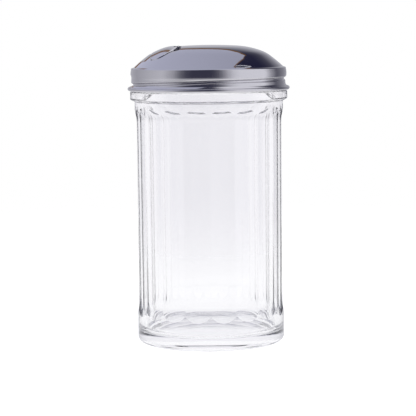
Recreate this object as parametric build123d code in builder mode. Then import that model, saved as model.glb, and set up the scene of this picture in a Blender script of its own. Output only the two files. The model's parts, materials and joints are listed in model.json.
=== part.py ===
from build123d import *
import os
from math import cos, radians, sin, tan

# Sugar dispenser with a hinged pouring flap: a fluted clear jar under a domed steel lid.
# Millimetres and degrees. The origin is the centre of the foot, on the table, with +Z up.
# The flap pours towards -X. Its hinge pin lies along Y, just behind the pouring opening.

# ---- jar: driving dimensions ----
foot_radius = 36.65         # plain ring at the bottom: a base 73 mm across
foot_height = 14.35         # up to the lowest point of the scallops above the foot
foot_corner = 2.8           # rounding of the ring's outer bottom edge
rest_width = 6.0            # flat ring that stands on the table, with the corner outside it
punt_step = 0.9             # how far the bottom is recessed just inside that ring
punt_rounding = 0.4
punt_height = 2.2           # height of the recess at its centre
floor_thickness = 3.4       # plastic at the centre of the floor
wall_thickness = 3.25       # at the floor, behind the middle of a flute
bore_draft = 0.8            # how much wider the inside is at the mouth than at the floor
bore_corner = 4.0           # rounding between floor and wall
flute_count = 18
flute_depth = 0.9           # from the foot's face back to the middle of each flat flute
flute_length = 93.2         # upright part of a flute
low_ramp_height = 4.7       # where the flute leans out to the foot
high_ramp_height = 4.6      # where it leans out to the neck band
tool_margin = 0.5           # run-out of the fluting tool outside the band
band_step = 0.2             # how far the plain band above the flutes stands out past the foot
band_height = 3.35          # between the scallops and the collar
collar_width = 2.15         # how far the collar, which the lid's rim stops above, stands out
collar_height = 4.95
collar_slope = 1.0          # height of the collar's sloping underside
collar_rounding = 0.45
neck_inset = 0.3            # how far the neck lies back from the band
neck_height = 11.02         # from the collar up to the mouth, inside the lid
mouth_rounding = 1.2

# ---- lid: driving dimensions ----
sheet = 0.5                 # thickness of the drawn steel
seat_gap = 0.41             # the lid's ledge above the jar's mouth
thread_gap = 0.4            # the rolled groove outside the jar's neck
collar_gap = 0.4            # the rolled rim above the jar's collar
crown_radius = 233.7        # nearly flat middle of the dome
crown_angle = 3.5           # slope where the crown ends
brow_radius = 41.4
brow_angle = 21.0           # slope where the brow ends
cheek_radius = 16.0
cone_angle = 40.0           # slope of the straight flank of the dome
ledge_width = 1.55          # from the foot of the flank to the skirt's face
ledge_drop = 0.45           # fall of the ledge towards the shoulder
shoulder_rounding = 0.8
groove_clear = 0.65         # straight skirt between the flare and the rolled groove
groove_depth = 1.0
groove_land = 1.0           # straight bottom of the groove
groove_flank = 1.3          # height of each side of the groove
groove_rounding = 0.7
flare_rise = 1.75           # where the skirt begins to flare, above the centre of the rim
flare_length = 0.9
flare_rounding = 0.4
rim_overhang = 1.8          # how far the rolled rim stands out past the skirt
rim_bore = 0.45             # inside radius of the roll
rim_roll_angle = 285.0      # how far the rim is rolled

# ---- pouring opening, flap and hinge: driving dimensions ----
opening_margin = 8.4        # from the foot of the dome's flank to the opening's outer edge
opening_length = 15.1       # outer edge to inner edge
opening_half_width = 20.7
draw_in_length = 7.6        # over which the straight sides draw in to the back
draw_in_width = 4.3
front_corner = 6.5
side_corner = 3.0
back_corner = 1.2
flap_gap = 0.75             # between the flap and the opening, at the sides and the back
front_gap = 0.5             # at the front edge, which swings outwards a little as it rises
flap_back_corner = 5.0      # keeps the plate clear of the drawn-in sides as it swings back
flap_rise = 0.55            # how far the flap's middle stands above the dome
flap_stations = ((0.0, 0.0), (0.33, 0.6), (0.66, 1.0))  # share of the flap's length, share of its rise
plate_crown = 0.1           # the plate is all but straight across at the hinge
flap_lip_depth = 1.7        # turned-down edges beside the hinge
flap_lip_length = 6.0
pin_radius = 0.8
pin_fit = 0.02              # pin in the lid's tabs, pressed
knuckle_fit = 0.1           # pin in the flap's knuckles, turning
tab_curl_angle = 300.0      # how far the lid's tabs are curled
knuckle_curl_angle = 270.0  # how far the flap's knuckles are curled
hinge_inset = 1.8           # the pin in front of the opening's inner edge
hinge_proud = 0.05          # how far the knuckles stand above the dome
tab_inner = 6.0             # the lid's tabs, from the middle of the hinge
tab_width = 3.4
knuckle_side_gap = 0.35     # between neighbouring knuckles
knuckle_end_inset = 0.05    # the flap's outer knuckles inside the plate's ends
pin_recess = 0.3            # how far the pin's ends lie inside the flap's knuckles
pin_end_rounding = 0.25
tongue_half_width = 4.4
tongue_angle = 58.0         # how far the tongue follows the pin before it turns back level
tongue_bend = 0.6
tongue_reach = 3.4          # level part of the tongue, under the dome

os.makedirs("parts", exist_ok=True)

# ---- jar: sizes that follow ----
flute_flat = foot_radius - flute_depth
band_radius = foot_radius + band_step
collar_radius = band_radius + collar_width
neck_radius = band_radius - neck_inset
rest_inner_radius = foot_radius - rest_width
bore_floor_radius = flute_flat - wall_thickness
bore_mouth_radius = bore_floor_radius + bore_draft
flute_bottom_bend = foot_height + low_ramp_height
flute_top_bend = flute_bottom_bend + flute_length
collar_bottom = flute_top_bend + high_ramp_height + band_height
collar_top = collar_bottom + collar_height
mouth_height = collar_top + neck_height

# ---- lid: sizes that follow from the jar's neck, mouth and collar ----
half_sheet = sheet / 2
groove_line = neck_radius + thread_gap + half_sheet
skirt_line = groove_line + groove_depth
ledge_radius = skirt_line + half_sheet - ledge_width
rim_middle = rim_bore + half_sheet
rim_line = skirt_line + rim_overhang - 2 * rim_middle
rim_height = collar_top + collar_gap + rim_middle + half_sheet
flare_height = rim_height + flare_rise
groove_height = flare_height + groove_clear + groove_flank + groove_land / 2
dome_arcs = [(crown_radius, crown_angle), (brow_radius, brow_angle), (cheek_radius, cone_angle)]


def dome_drop(radius, inset=0.0):
    """Fall of the dome from its top at a distance from its axis: three tangent arcs, then a cone.
    The inset is how far below the outer face that line of the sheet lies."""
    drop = 0.0
    start = 0.0
    slope = 0.0
    for outer_arc, next_slope in dome_arcs:
        arc = outer_arc - inset
        middle = start - arc * sin(radians(slope))
        end = middle + arc * sin(radians(next_slope))
        reach = min(radius, end)
        drop += arc * cos(radians(slope)) - (arc**2 - (reach - middle) ** 2) ** 0.5
        if radius <= end:
            return drop
        start = end
        slope = next_slope
    return drop + (radius - start) * tan(radians(cone_angle))


def dome_height(radius):
    """Height of the dome's outer face at a distance from its axis."""
    return dome_top - dome_drop(radius)


ledge_height = mouth_height + seat_gap + half_sheet
dome_top = ledge_height + dome_drop(ledge_radius, half_sheet) + half_sheet

# ---- opening, flap and hinge: sizes that follow ----
opening_front = opening_margin - ledge_radius
opening_back = opening_front + opening_length
opening_draw_in = opening_back - draw_in_length
opening_back_half_width = opening_half_width - draw_in_width
knuckle_middle = pin_radius + knuckle_fit + half_sheet
knuckle_radius = knuckle_middle + half_sheet
knuckle_outer = opening_back_half_width - flap_gap - knuckle_end_inset
tab_middle = pin_radius + pin_fit + half_sheet
tab_outer = tab_inner + tab_width
hinge_clear = knuckle_radius + knuckle_side_gap
hinge_x = opening_back - hinge_inset
hinge_top = dome_height(-hinge_x) + hinge_proud
hinge_z = hinge_top - knuckle_radius


# ---- jar: one turned section, from which the flutes are cut ----
low_slope = flute_depth / low_ramp_height
high_slope = (band_radius - flute_flat) / high_ramp_height
flute_half_width = foot_radius * sin(radians(180 / flute_count))
flute_middle = (flute_bottom_bend + flute_top_bend) / 2

# The tool that mills one flute: flat, leaning out at both ends until it is clear of the jar
with BuildPart() as flute_tool:
    with BuildSketch(Plane.XZ):
        with BuildLine():
            tool_radius = band_radius + tool_margin
            lean = tool_radius - flute_flat
            Polyline(
                (tool_radius, flute_bottom_bend - lean / low_slope),
                (flute_flat, flute_bottom_bend),
                (flute_flat, flute_top_bend),
                (tool_radius, flute_top_bend + lean / high_slope),
                close=True,
            )
        make_face()
    extrude(amount=2 * flute_half_width, both=True)

with BuildPart() as jar:
    with BuildSketch(Plane.XZ):
        with BuildLine():
            outside = FilletPolyline(
                (0, punt_height),
                (rest_inner_radius - punt_step, punt_step),
                (rest_inner_radius, 0),
                (foot_radius, 0),
                (foot_radius, flute_middle),
                radius=[punt_rounding, punt_rounding, foot_corner],
            )
            Line(outside @ 1, (band_radius, flute_middle))
            neck = FilletPolyline(
                (band_radius, flute_middle),
                (band_radius, collar_bottom),
                (collar_radius, collar_bottom + collar_slope),
                (collar_radius, collar_top),
                (neck_radius, collar_top),
                (neck_radius, mouth_height),
                (bore_mouth_radius, mouth_height),
                (bore_floor_radius, punt_height + floor_thickness),
                (0, punt_height + floor_thickness),
                radius=[collar_rounding] * 4 + [mouth_rounding] * 2 + [bore_corner],
            )
            Line(neck @ 1, outside @ 0)
        make_face()
    revolve(axis=Axis.Z)
    with PolarLocations(0, flute_count, start_angle=-90):
        add(flute_tool.part, mode=Mode.SUBTRACT)


def opening_plan(front, back_rounding):
    """The plan of the pouring opening, drawn in around the hinge."""
    corners = [front_corner, side_corner, back_rounding]
    with BuildSketch() as plan:
        with BuildLine():
            FilletPolyline(
                (front, -opening_half_width),
                (opening_draw_in, -opening_half_width),
                (opening_back, -opening_back_half_width),
                (opening_back, opening_back_half_width),
                (opening_draw_in, opening_half_width),
                (front, opening_half_width),
                radius=corners + corners[::-1],
                close=True,
            )
        make_face()
    return plan.sketch_local


# ---- lid shell: one drawn sheet, drawn here by the middle of its thickness ----
with BuildPart() as lid_shell:
    with BuildSketch(Plane.XZ):
        with BuildLine():
            crown = JernArc((0, dome_top - half_sheet), (1, 0), crown_radius - half_sheet, -crown_angle)
            brow = JernArc(crown @ 1, crown % 1, brow_radius - half_sheet, crown_angle - brow_angle)
            cheek = JernArc(brow @ 1, brow % 1, cheek_radius - half_sheet, brow_angle - cone_angle)
            skirt = FilletPolyline(
                cheek @ 1,
                (ledge_radius, ledge_height),
                (skirt_line, ledge_height - ledge_drop),
                (skirt_line, groove_height + groove_land / 2 + groove_flank),
                (groove_line, groove_height + groove_land / 2),
                (groove_line, groove_height - groove_land / 2),
                (skirt_line, groove_height - groove_land / 2 - groove_flank),
                (skirt_line, flare_height),
                (rim_line, flare_height - flare_length),
                (rim_line, rim_height),
                radius=[shoulder_rounding] * 2 + [groove_rounding] * 4 + [flare_rounding] * 2,
            )
            JernArc(skirt @ 1, skirt % 1, rim_middle, rim_roll_angle)
        trace(line_width=sheet)
    revolve(axis=Axis.Z)
    with BuildSketch(Plane.XY.offset(mouth_height)):
        add(opening_plan(opening_front, back_corner))
    extrude(amount=dome_top - mouth_height, mode=Mode.SUBTRACT)
    # Two tabs run from the opening's back edge over the pin and curl under it
    for side in (-1, 1):
        tab_root_radius = Vector(opening_back, tab_inner + tab_width / 2).length
        with BuildSketch(Plane.XZ.offset(-side * (tab_inner + tab_width / 2))):
            with BuildLine():
                tab_top = (hinge_x, hinge_z + tab_middle)
                root = Line((opening_back + sheet, dome_height(tab_root_radius) - half_sheet), tab_top)
                JernArc(tab_top, (-1, 0), tab_middle, tab_curl_angle)
            trace(line_width=sheet)
        extrude(amount=tab_width / 2, both=True)

# ---- flap: a plate pressed to the dome's form, which flattens towards the straight hinge ----
plate_sections = [(hinge_x, hinge_top, hinge_top - plate_crown)]
for share, rise_share in flap_stations:
    section_x = opening_front + share * (hinge_x - opening_front)
    middle_height = dome_height(-section_x) + rise_share * flap_rise
    edge_height = dome_height(Vector(section_x, opening_half_width).length) + rise_share * flap_rise
    plate_sections.insert(-1, (section_x, middle_height, edge_height))


def plate_blank(depth):
    """The untrimmed plate, as deep as asked, lofted through strips between two arcs."""
    with BuildPart() as blank:
        for x, middle_height, edge_height in plate_sections:
            with BuildSketch(Plane.YZ.offset(x)):
                with BuildLine():
                    arcs = []
                    for drop in (0, depth):
                        left = (-opening_half_width, edge_height - drop)
                        right = (opening_half_width, edge_height - drop)
                        arcs.append(ThreePointArc(left, (0, middle_height - drop), right))
                    Line(arcs[0] @ 0, arcs[1] @ 0)
                    Line(arcs[0] @ 1, arcs[1] @ 1)
                make_face()
        loft()
    return blank.part


with BuildPart() as flap:
    add(plate_blank(sheet))
    with BuildSketch(Plane.XY.offset(mouth_height)) as flap_outline:
        add(opening_plan(opening_front + front_gap - flap_gap, flap_back_corner + flap_gap))
        offset(amount=-flap_gap)
    extrude(amount=2 * (dome_top - mouth_height), mode=Mode.INTERSECT)
    # The plate is cut back around the lid's tabs, and clear of the pin
    notch_width = tab_outer + knuckle_side_gap - tongue_half_width
    with BuildSketch(Plane.XY.offset(mouth_height)):
        for side in (-1, 1):
            with Locations((hinge_x, side * (tongue_half_width + notch_width / 2))):
                Rectangle(2 * hinge_clear, notch_width)
    extrude(amount=2 * (dome_top - mouth_height), mode=Mode.SUBTRACT)
    with BuildSketch(Plane.XZ):
        with Locations((hinge_x, hinge_z)):
            Circle(pin_radius + knuckle_fit)
    extrude(amount=opening_half_width, both=True, mode=Mode.SUBTRACT)
    # Two knuckles curl down around the pin
    for side in (-1, 1):
        with BuildSketch(Plane.XZ.offset(side * (tab_outer + knuckle_side_gap + knuckle_outer) / 2)):
            with BuildLine():
                JernArc((hinge_x, hinge_z + knuckle_middle), (1, 0), knuckle_middle, -knuckle_curl_angle)
            trace(line_width=sheet)
        extrude(amount=(knuckle_outer - tab_outer - knuckle_side_gap) / 2, both=True)
    # The tongue follows the pin part of the way, then runs level under the dome and stops the flap
    with BuildSketch(Plane.XZ):
        with BuildLine():
            over = JernArc((hinge_x, hinge_z + knuckle_middle), (1, 0), knuckle_middle, -tongue_angle)
            level = JernArc(over @ 1, over % 1, tongue_bend, tongue_angle)
            Line(level @ 1, level @ 1 + Vector(tongue_reach, 0))
        trace(line_width=sheet)
    extrude(amount=tongue_half_width, both=True)

# Turned-down edges stiffen the plate beside the hinge and close the gap there
with BuildPart() as flap_lips:
    add(plate_blank(sheet + flap_lip_depth))
    with BuildSketch(Plane.XY.offset(mouth_height)):
        add(flap_outline.sketch_local)
        offset(flap_outline.sketch_local, amount=-sheet, mode=Mode.SUBTRACT)
        with Locations((hinge_x - hinge_clear, 0)):
            Rectangle(
                flap_lip_length,
                2 * opening_half_width,
                align=(Align.MAX, Align.CENTER),
                mode=Mode.INTERSECT,
            )
    extrude(amount=2 * (dome_top - mouth_height), mode=Mode.INTERSECT)
flap.part = flap.part + flap_lips.part

# ---- hinge pin: a plain wire, held by the lid's curled tabs ----
with BuildPart() as hinge_pin:
    with BuildSketch(Plane.XZ):
        with Locations((hinge_x, hinge_z)):
            Circle(pin_radius)
    extrude(amount=knuckle_outer - pin_recess, both=True)
    fillet(hinge_pin.edges().filter_by(GeomType.CIRCLE), radius=pin_end_rounding)

pieces = {
    "jar": jar,
    "lid_shell": lid_shell,
    "flap": flap,
    "hinge_pin": hinge_pin,
}
for name, piece in pieces.items():
    piece.part.label = name
    export_step(piece.part, f"parts/{name}.step")
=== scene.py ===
import json
from math import atan2, cos, degrees, hypot, pi, radians, sin, tan

import bpy
from mathutils import Matrix, Vector


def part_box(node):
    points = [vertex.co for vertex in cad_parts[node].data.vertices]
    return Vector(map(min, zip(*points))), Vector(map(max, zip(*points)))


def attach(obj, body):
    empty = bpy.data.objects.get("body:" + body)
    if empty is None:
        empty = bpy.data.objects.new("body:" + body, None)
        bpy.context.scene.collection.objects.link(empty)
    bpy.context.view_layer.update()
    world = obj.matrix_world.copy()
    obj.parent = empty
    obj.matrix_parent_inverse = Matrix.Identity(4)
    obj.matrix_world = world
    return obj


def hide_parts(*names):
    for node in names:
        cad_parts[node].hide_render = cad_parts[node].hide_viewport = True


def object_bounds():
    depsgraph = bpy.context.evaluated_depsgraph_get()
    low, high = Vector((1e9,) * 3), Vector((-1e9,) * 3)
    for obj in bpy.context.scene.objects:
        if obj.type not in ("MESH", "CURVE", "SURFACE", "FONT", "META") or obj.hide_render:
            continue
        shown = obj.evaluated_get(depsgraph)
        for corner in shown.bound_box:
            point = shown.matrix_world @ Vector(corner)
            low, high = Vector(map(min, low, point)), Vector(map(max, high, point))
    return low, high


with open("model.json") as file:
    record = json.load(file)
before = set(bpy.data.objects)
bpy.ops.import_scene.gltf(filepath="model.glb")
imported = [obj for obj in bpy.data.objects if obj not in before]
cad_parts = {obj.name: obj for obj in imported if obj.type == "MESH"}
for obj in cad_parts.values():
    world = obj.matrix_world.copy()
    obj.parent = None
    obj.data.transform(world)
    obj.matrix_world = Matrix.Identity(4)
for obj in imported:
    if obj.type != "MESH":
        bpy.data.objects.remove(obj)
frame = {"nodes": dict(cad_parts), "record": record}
cad_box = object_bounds()

# +Z is up, and the origin is the middle of the jar's foot. The flap pours towards -X. The object's sizes
# are in millimetres, and are multiplied by mm where Blender takes them. The room's are in metres.
mm = 0.001
deg = radians(1)

# ---------------------------------------------------------------- sizes of the object

# The jar, from its foot to its mouth, and its flutes. A flute's bends are where it starts to run out, and
# its slopes are how fast it does.
foot_radius, band_radius, collar_radius, neck_radius = 36.65, 36.85, 39.0, 36.55
rest_inner_radius, recess_step, recess_height, floor_thickness = 30.65, 0.9, 2.2, 3.4
collar_bottom, collar_top = 120.2, 125.15
mouth_height = round(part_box("jar")[1][2] / mm, 2)
bore_floor_radius, bore_mouth_radius, bore_corner = 32.5, 33.3, 4.0
flute_count = 18
flute_flat, flute_bottom_bend, flute_top_bend = 35.75, 19.05, 112.25
low_slope, high_slope = 0.9 / 4.7, 1.1 / 4.6

# The lid, by the middle of its sheet. It sits on the mouth, and its rim hangs over the collar.
sheet = 0.5
seat_gap, rim_gap = 0.41, 0.4
dome_top = round(cad_box[1][2] / mm, 2)
ledge_radius, ledge_height = 36.9, mouth_height + seat_gap + sheet / 2
skirt_line, rim_line, rim_middle = 38.2, 38.6, 0.7
rim_height, rim_curl = collar_top + rim_gap + rim_middle + sheet / 2, 285
flare_height, flare_drop = 128.25, 0.9

# The pouring opening, widest between its front and its back, and the pin that the flap turns on.
opening_front, opening_widest, opening_back = -28.5, -21.0, -13.4
opening_half_width, opening_back_half_width = 20.7, 16.4
joints = {joint["name"]: joint for joint in frame["record"]["behaviour"]["joints"]}
hinge_x, _, hinge_z = [value / mm for value in joints["flap_swing"]["pos_m"]]

# ---------------------------------------------------------------- helpers


def linear(code):
    """A hex colour as it looks on screen, turned to linear light, with an alpha of 1."""
    parts = [int(code[i : i + 2], 16) / 255 for i in (1, 3, 5)]
    return tuple(c / 12.92 if c <= 0.04045 else ((c + 0.055) / 1.055) ** 2.4 for c in parts) + (1,)


def add_node(tree, kind, links=None, sockets=None, stops=(), **settings):
    """Adds a node. Links and sockets name its input sockets, or number them, and say what each is linked
    from or set to. Stops are a ramp's positions and the grey at each. Settings are its properties."""
    node = tree.nodes.new(kind)
    for name, value in settings.items():
        setattr(node, name, value)
    for name, value in (sockets or {}).items():
        node.inputs[name].default_value = value
    for name, source in (links or {}).items():
        tree.links.new(source, node.inputs[name])
    if stops:
        elements = node.color_ramp.elements
        while len(elements) < len(stops):
            elements.new(0.5)
        for element, (position, grey) in zip(elements, stops):
            element.position = position
            element.color = (grey, grey, grey, 1)
    return node


def new_material(name):
    material = bpy.data.materials.new(name)
    material.use_nodes = True
    material.node_tree.nodes.clear()
    return material, material.node_tree


def finish_material(tree, surface):
    add_node(tree, "ShaderNodeOutputMaterial", {"Surface": surface})


# ---------------------------------------------------------------- camera

camera = bpy.data.objects.new("camera", bpy.data.cameras.new("camera"))
bpy.context.scene.collection.objects.link(camera)
camera.data.sensor_width = 36
camera.data.lens = 156.5
camera.data.clip_end = 20
camera_place = Vector((0, -900, 162)) * mm
camera_aim = Vector((-0.955, 0, 66.5)) * mm
camera_roll = -0.62 * deg
look = (camera_aim - camera_place).to_track_quat("-Z", "Y")
camera.rotation_mode = "QUATERNION"
camera.location = camera_place
camera.rotation_quaternion = look @ Matrix.Rotation(camera_roll, 4, "Z").to_quaternion()
bpy.context.scene.camera = camera

# ---------------------------------------------------------------- materials


def clear_moulded_plastic():
    """Clear SAN, injection moulded and glossy: water-white, with a surface that swims a little where the
    melt flowed, so that what is behind it wavers."""
    material, tree = new_material("clear_moulded_plastic")
    place = add_node(tree, "ShaderNodeTexCoord").outputs["Object"]
    flow = add_node(
        tree,
        "ShaderNodeMapping",
        {"Vector": place},
        sockets={"Scale": (1, 1, 0.35)},
    )
    waves = add_node(
        tree,
        "ShaderNodeTexNoise",
        {"Vector": flow.outputs[0]},
        sockets={"Scale": 1 / (9 * mm), "Detail": 2.0, "Roughness": 0.5},
    )
    bump = add_node(
        tree,
        "ShaderNodeBump",
        {"Height": waves.outputs[0]},
        sockets={"Strength": 0.25, "Distance": 0.05 * mm},
    )
    body = add_node(
        tree,
        "ShaderNodeBsdfPrincipled",
        {"Normal": bump.outputs[0]},
        sockets={
            "Base Color": linear("#ffffff"),
            "IOR": 1.57,
            "Roughness": 0.0,
            "Transmission Weight": 1.0,
        },
    )
    # Light passes through on its way to the table, so the shadow is faint.
    shadow = add_node(tree, "ShaderNodeBsdfTransparent", sockets={"Color": linear("#f2f2f6")})
    rays = add_node(tree, "ShaderNodeLightPath")
    mix = add_node(
        tree,
        "ShaderNodeMixShader",
        {0: rays.outputs["Is Shadow Ray"], 1: body.outputs[0], 2: shadow.outputs[0]},
    )
    finish_material(tree, mix.outputs[0])
    return material


# Stainless steel: a little darker and cooler than silver, the drawn wire duller than the sheet.
sheet_colour, wire_colour = linear("#cdccd0"), linear("#b9b8bb")


def polished_drawn_steel():
    """Stainless steel, deep drawn from sheet and polished. The dome is smooth enough to show the room with
    sharp edges. The skirt, which the die stretched, keeps fine upright drawing lines."""
    material, tree = new_material("polished_drawn_steel")
    place = add_node(tree, "ShaderNodeTexCoord").outputs["Object"]
    height = add_node(tree, "ShaderNodeSeparateXYZ", {0: place}).outputs["Z"]
    skirt = add_node(
        tree,
        "ShaderNodeMapRange",
        {"Value": height},
        sockets={"From Min": (ledge_height + 0.07) * mm, "From Max": (ledge_height - 0.63) * mm},
    ).outputs[0]
    upright = add_node(tree, "ShaderNodeMapping", {"Vector": place}, sockets={"Scale": (1, 1, 0.03)})
    # Real drawing lines are some 0.05 mm apart. These are up to 0.9 mm apart, to show at this size.
    lines = add_node(
        tree,
        "ShaderNodeTexNoise",
        {"Vector": upright.outputs[0]},
        sockets={"Scale": 1 / (0.9 * mm), "Detail": 3.0, "Roughness": 0.7},
    ).outputs[0]
    polish = add_node(
        tree, "ShaderNodeTexNoise", {"Vector": place}, sockets={"Scale": 1 / (2.5 * mm), "Detail": 3.0}
    ).outputs[0]
    rough_dome = add_node(
        tree, "ShaderNodeMapRange", {"Value": polish}, sockets={"To Min": 0.03, "To Max": 0.07}
    ).outputs[0]
    rough_skirt = add_node(
        tree, "ShaderNodeMapRange", {"Value": lines}, sockets={"To Min": 0.07, "To Max": 0.16}
    ).outputs[0]
    rough = add_node(
        tree, "ShaderNodeMix", {0: skirt, "A": rough_dome, "B": rough_skirt}, data_type="FLOAT"
    ).outputs[0]
    depth = add_node(tree, "ShaderNodeMath", {0: lines, 1: skirt}, operation="MULTIPLY").outputs[0]
    bump = add_node(
        tree, "ShaderNodeBump", {"Height": depth}, sockets={"Strength": 0.5, "Distance": 0.03 * mm}
    )
    body = add_node(
        tree,
        "ShaderNodeBsdfPrincipled",
        {"Roughness": rough, "Normal": bump.outputs[0]},
        sockets={"Base Color": sheet_colour, "Metallic": 1.0},
    )
    finish_material(tree, body.outputs[0])
    return material


def pressed_steel():
    """The same sheet pressed flat and polished for the flap: as bright as the dome, with a faint grain
    along the hinge that softens what it mirrors."""
    material, tree = new_material("pressed_steel")
    place = add_node(tree, "ShaderNodeTexCoord").outputs["Object"]
    along = add_node(tree, "ShaderNodeMapping", {"Vector": place}, sockets={"Scale": (1, 0.08, 1)})
    # Real polishing grain is some 0.02 mm wide. This is up to 0.6 mm wide, to show at this size.
    grain = add_node(
        tree,
        "ShaderNodeTexNoise",
        {"Vector": along.outputs[0]},
        sockets={"Scale": 1 / (0.6 * mm), "Detail": 3.0},
    ).outputs[0]
    rough = add_node(
        tree, "ShaderNodeMapRange", {"Value": grain}, sockets={"To Min": 0.05, "To Max": 0.12}
    ).outputs[0]
    bump = add_node(
        tree, "ShaderNodeBump", {"Height": grain}, sockets={"Strength": 0.2, "Distance": 0.02 * mm}
    )
    body = add_node(
        tree,
        "ShaderNodeBsdfPrincipled",
        {"Roughness": rough, "Normal": bump.outputs[0]},
        sockets={"Base Color": sheet_colour, "Metallic": 1.0},
    )
    finish_material(tree, body.outputs[0])
    return material


def drawn_wire():
    """Bright-drawn steel wire for the pin: duller and a little darker than the sheet, with the die's
    lines along it."""
    material, tree = new_material("drawn_wire")
    place = add_node(tree, "ShaderNodeTexCoord").outputs["Object"]
    along = add_node(tree, "ShaderNodeMapping", {"Vector": place}, sockets={"Scale": (1, 0.03, 1)})
    lines = add_node(
        tree,
        "ShaderNodeTexNoise",
        {"Vector": along.outputs[0]},
        sockets={"Scale": 1 / (0.3 * mm), "Detail": 2.0},
    ).outputs[0]
    rough = add_node(
        tree, "ShaderNodeMapRange", {"Value": lines}, sockets={"To Min": 0.2, "To Max": 0.38}
    ).outputs[0]
    body = add_node(
        tree,
        "ShaderNodeBsdfPrincipled",
        {"Roughness": rough},
        sockets={"Base Color": wire_colour, "Metallic": 1.0},
    )
    finish_material(tree, body.outputs[0])
    return material


plastic = clear_moulded_plastic()
lid_steel = polished_drawn_steel()
for node_name, material in (
    ("jar", plastic),
    ("lid_shell", lid_steel),
    ("flap", pressed_steel()),
    ("hinge_pin", drawn_wire()),
):
    node = frame["nodes"][node_name]
    node.data.materials.clear()
    node.data.materials.append(material)

# ---------------------------------------------------------------- modelling helpers


def start_clean():
    """Object mode, with nothing selected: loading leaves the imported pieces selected."""
    if bpy.context.mode != "OBJECT":
        bpy.ops.object.mode_set(mode="OBJECT")
    bpy.ops.object.select_all(action="DESELECT")


def arc(centre, radius, first, last, steps):
    """Points of an arc in the plane of an outline, from one direction in degrees to another."""
    turns = [first + (last - first) * i / steps for i in range(steps + 1)]
    return [(centre[0] + radius * cos(t * deg), centre[1] + radius * sin(t * deg)) for t in turns]


def rounded(corners, radii, steps=5):
    """An outline's points, its inner corners rounded by arcs that touch both sides."""
    points = [corners[0]]
    for before, corner, after, radius in zip(corners, corners[1:], corners[2:], radii):
        a, c, b = Vector(before), Vector(corner), Vector(after)
        back, ahead = (a - c).normalized(), (b - c).normalized()
        half = back.angle(ahead) / 2
        if radius <= 0 or half > 89.9 * deg:
            points.append(corner)
            continue
        middle = c + (back + ahead).normalized() * radius / sin(half)
        first, last = c + back * radius / tan(half), c + ahead * radius / tan(half)
        start = atan2(first.y - middle.y, first.x - middle.x)
        sweep = atan2(last.y - middle.y, last.x - middle.x) - start
        sweep = (sweep + pi) % (2 * pi) - pi
        points += arc(middle, radius, start / deg, (start + sweep) / deg, steps)
    return points + [corners[-1]]


def drawn_line(name, points):
    """Starts from a small square gathered into one corner, and extrudes that corner from point to point,
    in the XZ plane."""
    start_clean()
    bpy.ops.mesh.primitive_plane_add(size=mm, location=(0, 0, 0))
    thing = bpy.context.object
    thing.name = name
    bpy.ops.object.mode_set(mode="EDIT")
    bpy.ops.mesh.select_all(action="SELECT")
    bpy.ops.mesh.merge(type="CENTER")
    last = Vector((0, 0, 0))
    for number, (x, z) in enumerate(points):
        step = Vector((x, 0, z)) * mm - last
        if number:
            bpy.ops.mesh.extrude_region_move(TRANSFORM_OT_translate={"value": step})
        else:
            bpy.ops.transform.translate(value=step)
        last += step
    return thing


def turned(name, points, steps):
    """Spins an outline once round the upright axis, and closes the seam and the ends on the axis."""
    thing = drawn_line(name, points)
    bpy.ops.mesh.select_all(action="SELECT")
    bpy.ops.mesh.spin(steps=steps, angle=2 * pi, center=(0, 0, 0), axis=(0, 0, 1))
    bpy.ops.mesh.select_all(action="SELECT")
    bpy.ops.mesh.remove_doubles(threshold=0.002 * mm)
    bpy.ops.mesh.normals_make_consistent(inside=False)
    bpy.ops.object.mode_set(mode="OBJECT")
    return thing


def use_modifier(thing, kind, **settings):
    """Adds a modifier to a piece and applies it."""
    start_clean()
    thing.select_set(True)
    bpy.context.view_layer.objects.active = thing
    modifier = thing.modifiers.new(kind.lower(), kind)
    for name, value in settings.items():
        setattr(modifier, name, value)
    bpy.ops.object.modifier_apply(modifier=modifier.name)


def smooth(thing, angle):
    """Shades a piece smooth, apart from edges sharper than the angle in degrees."""
    start_clean()
    thing.select_set(True)
    bpy.context.view_layer.objects.active = thing
    bpy.ops.object.shade_smooth_by_angle(angle=angle * deg)


def cut_away(thing, tool):
    """Takes the tool out of the piece and deletes the tool."""
    use_modifier(thing, "BOOLEAN", operation="DIFFERENCE", solver="EXACT", object=tool)
    bpy.data.objects.remove(tool)


def rounded_loop(corners, radii, steps=8):
    """A closed outline with every corner rounded."""
    middle = tuple((a + b) / 2 for a, b in zip(corners[-1], corners[0]))
    return rounded([middle, *corners, middle], radii, steps)[:-1]


def prism(name, outline, low, high):
    """An upright prism on an outline in the XY plane."""
    thing = drawn_line(name, outline)
    bpy.ops.mesh.select_all(action="SELECT")
    bpy.ops.transform.rotate(value=pi / 2, orient_axis="X", center_override=(0, 0, 0))
    bpy.ops.mesh.edge_face_add()
    bpy.ops.transform.translate(value=(0, 0, low * mm))
    bpy.ops.mesh.extrude_region_move(TRANSFORM_OT_translate={"value": (0, 0, (high - low) * mm)})
    bpy.ops.mesh.select_all(action="SELECT")
    bpy.ops.mesh.normals_make_consistent(inside=False)
    bpy.ops.object.mode_set(mode="OBJECT")
    return thing


def add_on(thing, extra):
    """Joins another closed piece to this one, and deletes the other."""
    use_modifier(thing, "BOOLEAN", operation="UNION", solver="EXACT", object=extra)
    bpy.data.objects.remove(extra)


def bent_strip(name, points, middle, width, thickness):
    """A strip of sheet, bent along a line in the XZ plane, as wide as asked along Y."""
    thing = drawn_line(name, points)
    bpy.ops.mesh.select_all(action="SELECT")
    bpy.ops.transform.translate(value=(0, (middle - width / 2) * mm, 0))
    bpy.ops.mesh.extrude_region_move(TRANSFORM_OT_translate={"value": (0, width * mm, 0)})
    bpy.ops.object.mode_set(mode="OBJECT")
    use_modifier(thing, "SOLIDIFY", thickness=thickness * mm, offset=0, use_even_offset=True)
    return thing


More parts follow.
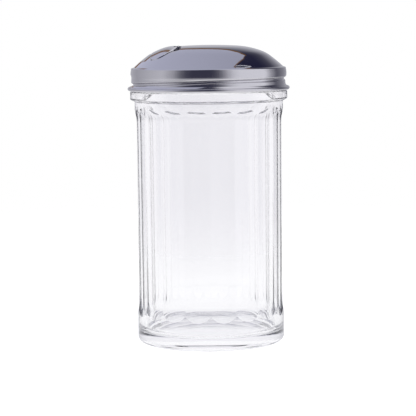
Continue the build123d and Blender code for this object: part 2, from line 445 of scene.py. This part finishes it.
def dressed(thing, body, node, material):
    """Gives a new piece its material and its body, and hides the node it stands for."""
    thing.data.materials.clear()
    thing.data.materials.append(material)
    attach(thing, body)
    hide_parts(node)


# ---------------------------------------------------------------- lid

# The dome's arcs from its top outwards: the outer radius, the slope where it ends, and its steps.
dome_arcs = ((233.7, 3.5, 6), (41.4, 21.0, 10), (16.0, 36.5, 10))
lid_steps = 240

# The band above the thread is rolled a little fuller in its middle. The skirt's rows of points are close
# together where the thread is.
band_bulge, band_middle, band_half_height = 0.25, 133.7, 2.2
rows_above = [135.8 - 0.2 * i for i in range(10)]
rows_at_thread = [133.9 - 0.1 * i for i in range(56)]

# The thread rolled into the skirt climbs a little more than once round it, from the back left round the
# front: the turn about the axis, in degrees from +X towards +Y, and the height of the groove's middle.
thread_line = ((130, 127.6), (180, 128.4), (270, 130.5), (360, 131.2), (570, 132.6))
thread_run_in, thread_run_out = 40, 90
groove_depth, groove_land, groove_flank = 1.0, 0.6, 0.9
# Under the groove the sheet comes back out slowly, which leaves a wider and shallower hollow.
hollow_share, hollow_land, hollow_flank, hollow_drop = 0.35, 0.8, 2.4, 1.2
# Only the skirt is moved: what is outside this radius and between these heights, fading in at the lower.
inside_skirt, thread_bottom, thread_top, thread_bottom_blend = 37, 127.3, 135, 0.9


def falling_arc(start, radius, slope, next_slope, steps):
    """Points of an arc that goes on from a point outwards and down, from one slope in degrees to another."""
    middle = (start[0] - radius * sin(slope * deg), start[1] - radius * cos(slope * deg))
    return arc(middle, radius, 90 - slope, 90 - next_slope, steps)[1:]


def lid_line():
    """The middle of the sheet, from the top of the dome to the end of the rolled rim."""
    points = [(0, dome_top - sheet / 2)]
    slope = 0.0
    for outer, next_slope, steps in dome_arcs:
        points += falling_arc(points[-1], outer - sheet / 2, slope, next_slope, steps)
        slope = next_slope
    # The flank is a shallow arc, tangent to the last of them, that ends on the ledge.
    first, last = points[-1], (ledge_radius, ledge_height)
    fall = atan2(first[1] - last[1], last[0] - first[0]) / deg
    radius = hypot(last[0] - first[0], last[1] - first[1]) / 2 / sin((fall - slope) * deg)
    flank = falling_arc(first, radius, slope, 2 * fall - slope, 8)[:-1]
    shoulder = rounded(
        [flank[-1], last, (skirt_line, ledge_height - 0.45), (skirt_line, rows_above[0] + 0.1)],
        [0.8, 0.3],
    )
    rows = []
    for z in rows_above + rows_at_thread:
        fullness = max(0, 1 - ((z - band_middle) / band_half_height) ** 2)
        rows.append((skirt_line + band_bulge * fullness, z))
    flare = rounded(
        [
            rows[-1],
            (skirt_line, flare_height),
            (rim_line, flare_height - flare_drop),
            (rim_line, rim_height),
        ],
        [0.4, 0.4],
    )
    roll = arc((rim_line + rim_middle, rim_height), rim_middle, 180, 180 + rim_curl, 20)
    return points + flank[:-1] + shoulder + rows[:-1] + flare + roll[1:]


def bump_across(distance, land, flank):
    """1 on the land in the middle of a groove or a thread, falling smoothly to 0 over its flank."""
    out = min(1, max(0, (abs(distance) - land / 2) / flank))
    return 0.5 + 0.5 * cos(pi * out)


def thread_height(at):
    """The height of the groove's middle at a turn about the axis."""
    for (first, low), (last, high) in zip(thread_line, thread_line[1:]):
        if at <= last:
            return low + (high - low) * (at - first) / (last - first)


def thread_at(turn, z, land, flank, offset=0.0):
    """How much of its depth the thread has at a turn about the axis and a height, from 0 to 1. The
    offset raises the thread."""
    thread_start, thread_end = thread_line[0][0], thread_line[-1][0]
    share = 0.0
    for whole in (0, 360, 720):
        at = turn + whole
        if thread_start <= at <= thread_end:
            fade = min(1, (at - thread_start) / thread_run_in, (thread_end - at) / thread_run_out)
            fade = fade * fade * (3 - 2 * fade)
            middle = thread_height(at) + offset
            share = max(share, fade * bump_across(z - middle, land, flank))
    return share


def roll_thread(lid):
    """Rolls the thread's groove into the skirt."""
    for vertex in lid.data.vertices:
        x, y, z = vertex.co / mm
        radius = hypot(x, y)
        if radius > inside_skirt and thread_bottom < z < thread_top:
            turn = degrees(atan2(y, x)) % 360
            groove = thread_at(turn, z, groove_land, groove_flank)
            hollow = thread_at(turn, z, hollow_land, hollow_flank, -hollow_drop)
            depth = groove_depth * (groove + hollow_share * (1 - groove) * hollow)
            depth *= min(1, (z - thread_bottom) / thread_bottom_blend)
            vertex.co.x *= 1 - depth / radius
            vertex.co.y *= 1 - depth / radius


def cut_opening(lid):
    """Cuts the pouring opening, straight down through the dome."""
    half = [
        (opening_front, opening_half_width),
        (opening_widest, opening_half_width),
        (opening_back, opening_back_half_width),
    ]
    half_radii = [6.5, 3.0, 1.2]
    corners = [(x, -y) for x, y in half] + half[::-1]
    outline = rounded_loop(corners, half_radii + half_radii[::-1])
    cut_away(lid, prism("opening_tool", outline, mouth_height, dome_top + 2))


def add_hinge_tabs(lid):
    """The two tabs left at the back of the opening, curled down round the pin."""
    tab_middle, tab_width, curl_radius = 7.7, 3.4, 1.07
    root_height = 147.0
    root = (opening_back + sheet, root_height)
    curl = arc((hinge_x, hinge_z), curl_radius, 90, 390, 30)
    for side in (-1, 1):
        add_on(lid, bent_strip("hinge_tab", [root, *curl], side * tab_middle, tab_width, sheet))


def lid_shell():
    """One drawn sheet: dome, shoulder, threaded skirt and rolled rim, with its opening and its tabs."""
    lid = turned("lid", lid_line(), lid_steps)
    roll_thread(lid)
    use_modifier(lid, "SOLIDIFY", thickness=sheet * mm, offset=0, use_even_offset=True)
    cut_opening(lid)
    add_hinge_tabs(lid)
    smooth(lid, 30)
    return lid


dressed(lid_shell(), "lid", "lid_shell", lid_steel)

# ---------------------------------------------------------------- jar

jar_steps = 288
# The foot's radius changes to the band's where the flutes take the step away.
step_height = 70

# The neck's rows of points, close together for its thread, which stands out and runs above the lid's.
neck_rows = [126.6 + 0.25 * i for i in range(33)]
neck_thread_depth, neck_thread_land, neck_thread_flank, neck_thread_rise = 1.1, 0.5, 0.9, 2.2

# A flute is hollowed a little across its width, and the ridge between two flutes is rounded. The steps
# are shares of half a flute's width, close together near the ridge.
flute_hollow, ridge_round = 0.15, 0.7
flute_steps = (0.22, 0.44, 0.66, 0.85, 0.9, 0.935, 0.97, 1.0)
bend_radius = 25
tool_radius = 50


def jar_outline():
    """From the middle of the recess under the foot, up the outside, over the mouth and down the bore."""
    outside = rounded(
        [
            (0, recess_height),
            (rest_inner_radius - recess_step, recess_step),
            (rest_inner_radius, 0),
            (foot_radius, 0),
            (foot_radius, step_height),
        ],
        [0.4, 0.4, 2.8],
        10,
    )
    collar = rounded(
        [
            (band_radius, step_height),
            (band_radius, collar_bottom),
            (collar_radius, collar_bottom + 1.0),
            (collar_radius, collar_top),
            (neck_radius, collar_top),
            (neck_radius, neck_rows[0]),
        ],
        [0.45] * 4,
        8,
    )
    neck = [(neck_radius, z) for z in neck_rows[1:-1]]
    inside = rounded(
        [
            (neck_radius, neck_rows[-1]),
            (neck_radius, mouth_height),
            (bore_mouth_radius, mouth_height),
            (bore_floor_radius, recess_height + floor_thickness),
            (0, recess_height + floor_thickness),
        ],
        [1.2, 1.2, bore_corner],
        12,
    )
    return outside + collar + neck + inside


def raise_neck_thread(glass):
    """Raises the thread on the neck, which the lid hides."""
    for vertex in glass.data.vertices:
        x, y, z = vertex.co / mm
        radius = hypot(x, y)
        if abs(radius - neck_radius) < 0.01 and neck_rows[0] - 0.1 < z < neck_rows[-1] + 0.1:
            turn = degrees(atan2(y, x)) % 360
            height = neck_thread_depth * thread_at(
                turn, z, neck_thread_land, neck_thread_flank, neck_thread_rise
            )
            vertex.co.x *= 1 + height / radius
            vertex.co.y *= 1 + height / radius


def on_flute(turn, flat, z, share):
    """Where a point of the round cutter goes, to cut flutes: its turn about the axis, how far the flute
    is from the axis at that height, and the share of the flute's full depth that this is."""
    pitch = 2 * pi / flute_count
    centre = round(turn / pitch) * pitch
    number = round((turn - centre) / pitch * 2 * len(flute_steps))
    half = flat * tan(pitch / 2)
    across = half * ((0,) + flute_steps)[abs(number)]
    ridge_start = half - ridge_round
    hollow = flute_hollow * share
    inward = hollow * (1 - (min(across, ridge_start) / half) ** 2)
    if across > ridge_start:
        slope = 2 * hollow * ridge_start / half**2
        past = across - ridge_start
        inward -= slope * past - (slope + tan(pitch / 2)) * past**2 / 2 / ridge_round
    across = across if number > 0 else -across
    out = flat - inward
    return out * cos(centre) - across * sin(centre), out * sin(centre) + across * cos(centre), z


def cut_flutes(glass):
    """Cuts all the flutes with one turned cutter, whose inner face is moved on to their form."""
    reach = band_radius + 1.0
    lean = reach - flute_flat
    low, high = flute_bottom_bend - lean / low_slope, flute_top_bend + lean / high_slope
    loop = rounded(
        [
            (tool_radius, low),
            (reach, low),
            (flute_flat, flute_bottom_bend),
            (flute_flat, flute_top_bend),
            (reach, high),
            (tool_radius, high),
            (tool_radius, low),
        ],
        [0, bend_radius, bend_radius, 0, 0],
        8,
    )
    tool = turned("flute_tool", loop, flute_count * 2 * len(flute_steps))
    for vertex in tool.data.vertices:
        x, y, z = vertex.co / mm
        radius = hypot(x, y)
        if radius < tool_radius - 1:
            vertex.co = Vector(on_flute(atan2(y, x), radius, z, (reach - radius) / lean)) * mm
    cut_away(glass, tool)


def jar():
    """One clear moulding: foot, flutes, neck band, collar and threaded mouth."""
    glass = turned("clear_jar", jar_outline(), jar_steps)
    raise_neck_thread(glass)
    cut_flutes(glass)
    smooth(glass, 8)
    return glass


dressed(jar(), "jar", "jar", plastic)

# ---------------------------------------------------------------- studio


def white_table():
    """White paper. The camera, metal and plastic see it glow white, and it keeps a soft shadow. Away from
    the jar it fades out: metal sees the lit table end there, and the plastic sees it end sooner."""
    material, tree = new_material("white_table")
    rays = add_node(tree, "ShaderNodeLightPath").outputs
    place = add_node(tree, "ShaderNodeTexCoord").outputs["Object"]
    away = add_node(tree, "ShaderNodeVectorMath", {0: place}, operation="LENGTH").outputs["Value"]
    table_end = add_node(
        tree,
        "ShaderNodeMapRange",
        {"Value": rays["Is Transmission Ray"]},
        sockets={"To Min": 0.7, "To Max": 0.4},
    ).outputs[0]
    faded = add_node(
        tree,
        "ShaderNodeMapRange",
        {"Value": away, "From Max": table_end},
        interpolation_type="SMOOTHSTEP",
        sockets={"From Min": 0.06},
    ).outputs[0]
    paper = add_node(tree, "ShaderNodeBsdfDiffuse", sockets={"Color": linear("#e4e4e6")})
    shade = add_node(tree, "ShaderNodeBsdfDiffuse", sockets={"Color": linear("#9a9a9c")})
    strength = add_node(
        tree,
        "ShaderNodeMapRange",
        {"Value": rays["Is Camera Ray"]},
        sockets={"To Min": 0.72, "To Max": 0.9},
    ).outputs[0]
    glow = add_node(tree, "ShaderNodeEmission", {"Strength": strength}, sockets={"Color": (1, 1, 1, 1)})
    looked_at = add_node(
        tree,
        "ShaderNodeMath",
        {0: rays["Is Camera Ray"], 1: rays["Is Glossy Ray"]},
        operation="MAXIMUM",
    ).outputs[0]
    seen = add_node(
        tree,
        "ShaderNodeMath",
        {0: looked_at, 1: rays["Is Transmission Ray"]},
        operation="MAXIMUM",
    ).outputs[0]
    lit = add_node(tree, "ShaderNodeAddShader", {0: shade.outputs[0], 1: glow.outputs[0]}).outputs[0]
    top = add_node(tree, "ShaderNodeMixShader", {0: seen, 1: paper.outputs[0], 2: lit}).outputs[0]
    gone = add_node(tree, "ShaderNodeBsdfTransparent").outputs[0]
    surface = add_node(tree, "ShaderNodeMixShader", {0: faded, 1: top, 2: gone}).outputs[0]
    finish_material(tree, surface)
    return material


def studio_floor():
    """The table, a hair below the foot."""
    start_clean()
    bpy.ops.mesh.primitive_circle_add(
        vertices=96, radius=0.95, fill_type="NGON", location=(0, 0, -0.01 * mm)
    )
    floor = bpy.context.object
    floor.name = "floor"
    floor.data.materials.append(white_table())


def lamp(name, place, aim, size, power):
    """A soft lamp that lights the table and the object, and doesn't show in them."""
    light = bpy.data.lights.new(name, "AREA")
    light.shape = "RECTANGLE"
    light.size, light.size_y = size
    light.energy = power
    thing = bpy.data.objects.new(name, light)
    bpy.context.scene.collection.objects.link(thing)
    thing.location = place
    thing.rotation_mode = "QUATERNION"
    thing.rotation_quaternion = (Vector(aim) - Vector(place)).to_track_quat("-Z", "Y")
    thing.visible_camera = False
    thing.visible_glossy = False
    thing.visible_transmission = False


dome_middle = 0.142


def reflected_card(name, corners, rise, colour):
    """A glowing card above the object, that only shows as a reflection and grows dimmer to the right.
    Its corners are given one metre above the dome, and it hangs at its own rise, where the dome sees
    them in the same place."""
    material, tree = new_material(name)
    place = add_node(tree, "ShaderNodeTexCoord").outputs["Object"]
    across = add_node(tree, "ShaderNodeSeparateXYZ", {0: place}).outputs["X"]
    light = add_node(
        tree,
        "ShaderNodeMapRange",
        {"Value": across},
        sockets={"From Min": -1.0, "From Max": 0.45, "To Min": 1.1, "To Max": 0.84},
    ).outputs[0]
    glow = add_node(tree, "ShaderNodeEmission", {"Strength": light}, sockets={"Color": (*colour, 1)})
    finish_material(tree, glow.outputs[0])
    start_clean()
    bpy.ops.mesh.primitive_circle_add(vertices=len(corners), radius=1, fill_type="NGON")
    card = bpy.context.object
    card.name = name
    for vertex, (x, y) in zip(card.data.vertices, corners):
        vertex.co = Vector((x * rise, y * rise, rise + dome_middle))
    card.data.materials.append(material)
    for kind in ("camera", "diffuse", "transmission", "volume_scatter", "shadow"):
        setattr(card, "visible_" + kind, False)


studio_floor()
jar_middle = (0, 0, 0.07)
lamp("key", (-1.0, -0.6, 1.4), jar_middle, (1.2, 1.2), 16)
lamp("fill", (1.2, -0.5, 1.0), jar_middle, (1.0, 1.0), 10)

# The edge of a lilac scrim over the object, from its near right corner round its far side, and of the
# brown frame behind it, which shows as a thin fringe. The lit tube before them leans away to the right.
far_corners = [(-2.2, 4.3), (-2.6, 1.0), (-1.5, -0.4), (-0.25, -0.45)]
near_edge = [(0.29, 0.04), (0.34, 0.15), (0.42, 0.38), (0.46, 0.51)]
scrim_edge = near_edge + [
    (0.48, 0.69),
    (0.36, 0.87),
    (0.26, 1.21),
    (0.15, 1.54),
    (-0.1, 1.78),
    (-0.22, 2.05),
    (-0.95, 2.53),
    (-1.1, 4.2),
]
frame_edge = [(x + 0.011, y - 0.004) for x, y in near_edge] + [
    (0.49, 0.76),
    (0.35, 1.06),
    (0.25, 1.46),
    (0.14, 1.86),
    (-0.1, 2.26),
    (-0.2, 2.6),
    (-1.0, 3.2),
    (-1.1, 4.5),
    (-1.35, 8),
]
tube_edge = [(0.365, 0.18), (0.59, 0.42), (0.59, 0.44), (0.365, 0.195)]
reflected_card("scrim", scrim_edge + far_corners, 1.0, (0.55, 0.565, 0.70))
reflected_card("scrim_frame", frame_edge + far_corners, 1.01, (0.22, 0.12, 0.06))
reflected_card("tube", tube_edge, 0.99, (0.9, 0.92, 1.0))

# The numbers of a Mix node's two colours among its inputs, and of its colour among its outputs.
mix_first, mix_second, mix_colour = 6, 7, 2


def room_for_metal(tree, xyz):
    """The room as metal sees it, in a cool light: dark behind the camera, a broad light from the right, a
    dimmer one from the left, and a pale backdrop that falls off upwards."""
    front = add_node(tree, "ShaderNodeMath", {0: xyz["Y"]}, operation="MULTIPLY", sockets={1: -1.0})
    turn = add_node(tree, "ShaderNodeMath", {0: xyz["X"], 1: front.outputs[0]}, operation="ARCTAN2")
    around = add_node(
        tree,
        "ShaderNodeMapRange",
        {"Value": turn.outputs[0]},
        sockets={"From Min": -pi, "From Max": pi},
    ).outputs[0]
    # Degrees from behind the camera towards the right, and the light there.
    ring = [
        (-180, 0.55),
        (-132, 0.48),
        (-98, 0.62),
        (-72, 0.7),
        (-53, 0.45),
        (-43, 0.2),
        (-34, 0.09),
        (-24, 0.055),
        (4, 0.055),
        (12, 0.1),
        (20, 0.24),
        (29, 0.55),
        (38, 0.8),
        (48, 0.92),
        (92, 0.95),
        (104, 0.48),
        (120, 0.14),
        (141, 0.28),
        (180, 0.55),
    ]
    level = add_node(
        tree,
        "ShaderNodeValToRGB",
        {0: around},
        stops=[((at + 180) / 360, light) for at, light in ring],
    ).outputs[0]
    backdrop = add_node(
        tree,
        "ShaderNodeValToRGB",
        {0: around},
        stops=[(0, 1), (0.12, 1), (0.22, 0), (0.78, 0), (0.84, 1), (1, 1)],
    ).outputs[0]
    upward = add_node(
        tree,
        "ShaderNodeValToRGB",
        {0: xyz["Z"]},
        stops=[
            (0, 1),
            (0.2, 1),
            (0.33, 0.75),
            (0.43, 0.5),
            (0.52, 0.24),
            (0.62, 0.14),
            (0.7, 0.09),
            (1, 0.12),
        ],
    ).outputs[0]
    fall = add_node(
        tree, "ShaderNodeMix", {0: backdrop, "B": upward}, sockets={"A": 1.0}, data_type="FLOAT"
    ).outputs[0]
    light = add_node(tree, "ShaderNodeMath", {0: level, 1: fall}, operation="MULTIPLY").outputs[0]
    cool = add_node(
        tree,
        "ShaderNodeMix",
        {0: light},
        sockets={mix_first: linear("#000030"), mix_second: linear("#f8f8ff")},
        data_type="RGBA",
    ).outputs[mix_colour]
    return add_node(tree, "ShaderNodeBackground", {"Color": cool}, sockets={"Strength": 1.06})


def room_for_plastic(tree, xyz):
    """The room as it shows through the plastic. Light that is bent far enough comes from the camera's
    side, which is dark with a blue cast."""
    backward = add_node(
        tree,
        "ShaderNodeMapRange",
        {"Value": xyz["Y"]},
        sockets={"From Min": -1.0, "From Max": 1.0},
    ).outputs[0]
    behind = add_node(
        tree,
        "ShaderNodeValToRGB",
        {0: backward},
        stops=[(0, 0), (0.35, 0), (0.5, 0.5), (0.62, 0.8), (0.75, 1), (1, 1)],
    ).outputs[0]
    above = add_node(
        tree,
        "ShaderNodeValToRGB",
        {0: xyz["Z"]},
        stops=[(0, 1), (0.12, 0.92), (0.3, 0.85), (0.6, 0.75), (1, 0.7)],
    ).outputs[0]
    share = add_node(tree, "ShaderNodeMath", {0: behind, 1: above}, operation="MULTIPLY").outputs[0]
    pale = add_node(
        tree,
        "ShaderNodeMix",
        {0: share},
        sockets={mix_first: linear("#666a88"), mix_second: linear("#fcfbff")},
        data_type="RGBA",
    ).outputs[mix_colour]
    return add_node(tree, "ShaderNodeBackground", {"Color": pale}, sockets={"Strength": 1.0})


def studio_world():
    """Metal and plastic see the room, and the camera sees white."""
    world = bpy.data.worlds.new("studio")
    bpy.context.scene.world = world
    world.use_nodes = True
    tree = world.node_tree
    tree.nodes.clear()
    direction = add_node(tree, "ShaderNodeTexCoord").outputs["Generated"]
    xyz = add_node(tree, "ShaderNodeSeparateXYZ", {0: direction}).outputs
    rays = add_node(tree, "ShaderNodeLightPath").outputs
    room = add_node(
        tree,
        "ShaderNodeMixShader",
        {
            0: rays["Is Transmission Ray"],
            1: room_for_metal(tree, xyz).outputs[0],
            2: room_for_plastic(tree, xyz).outputs[0],
        },
    )
    white = add_node(tree, "ShaderNodeBackground", sockets={"Color": (1, 1, 1, 1), "Strength": 1.0})
    seen = add_node(
        tree,
        "ShaderNodeMixShader",
        {0: rays["Is Camera Ray"], 1: room.outputs[0], 2: white.outputs[0]},
    )
    add_node(tree, "ShaderNodeOutputWorld", {"Surface": seen.outputs[0]})


studio_world()
bpy.context.scene.view_settings.view_transform = "Standard"
# In the thick foot and collar, light is thrown from face to face many times before it leaves.
cycles = bpy.context.scene.cycles
cycles.max_bounces = 24
cycles.glossy_bounces = 16
cycles.transmission_bounces = 24
